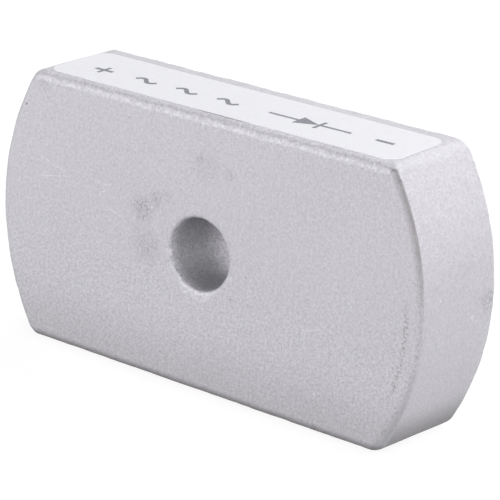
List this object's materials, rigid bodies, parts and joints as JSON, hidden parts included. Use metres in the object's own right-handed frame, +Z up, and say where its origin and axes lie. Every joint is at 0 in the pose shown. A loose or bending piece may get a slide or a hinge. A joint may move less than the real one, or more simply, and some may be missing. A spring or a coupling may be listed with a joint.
{
  "type": "bridge rectifier",
  "caption": "Potted bridge rectifier in a drafted cast case with rounded ends, a bolt hole through its middle and push-on tabs at the back.",
  "frame": {"origin": "centre of the bolt hole on the mounting face", "axes": "+X along the case, +Y from the mounting face to the tips of the tabs, +Z up as the case stands on one long side with the label on top"},
  "size_m": [0.0674, 0.022, 0.036],
  "materials": {
    "cast_aluminium": "as cast and tumbled, matt",
    "label_film": "printed polyester film",
    "potting_compound": "cast epoxy, satin",
    "heat_bond": "filled silicone adhesive",
    "alumina": "fired alumina, matt",
    "copper": "bare rolled copper",
    "silicon": "polished, metallised",
    "solder": "reflowed, satin",
    "tinned_copper": "tin plated"
  },
  "bodies": {
    "root": {"case": "cast_aluminium", "label": "label_film", "potting": "potting_compound", "bond_positive": "heat_bond", "bond_negative": "heat_bond", "insulator_positive": "alumina", "insulator_negative": "alumina", "positive_bus": "copper", "negative_bus": "copper", "diode_die_1": "silicon", "diode_die_2": "silicon", "diode_die_3": "silicon", "diode_die_4": "silicon", "diode_die_5": "silicon", "diode_die_6": "silicon", "lower_solder_1": "solder", "lower_solder_2": "solder", "lower_solder_3": "solder", "lower_solder_4": "solder", "lower_solder_5": "solder", "lower_solder_6": "solder", "upper_solder_1": "solder", "upper_solder_2": "solder", "upper_solder_3": "solder", "upper_solder_4": "solder", "upper_solder_5": "solder", "upper_solder_6": "solder", "phase_strap_1": "copper", "phase_strap_2": "copper", "phase_strap_3": "copper", "phase_tab_1": "tinned_copper", "phase_tab_2": "tinned_copper", "phase_tab_3": "tinned_copper", "phase_tab_solder_1": "solder", "phase_tab_solder_2": "solder", "phase_tab_solder_3": "solder", "positive_tab": "tinned_copper", "positive_tab_solder": "solder", "negative_terminal": "tinned_copper", "negative_terminal_solder": "solder"}
  },
  "joints": []
}
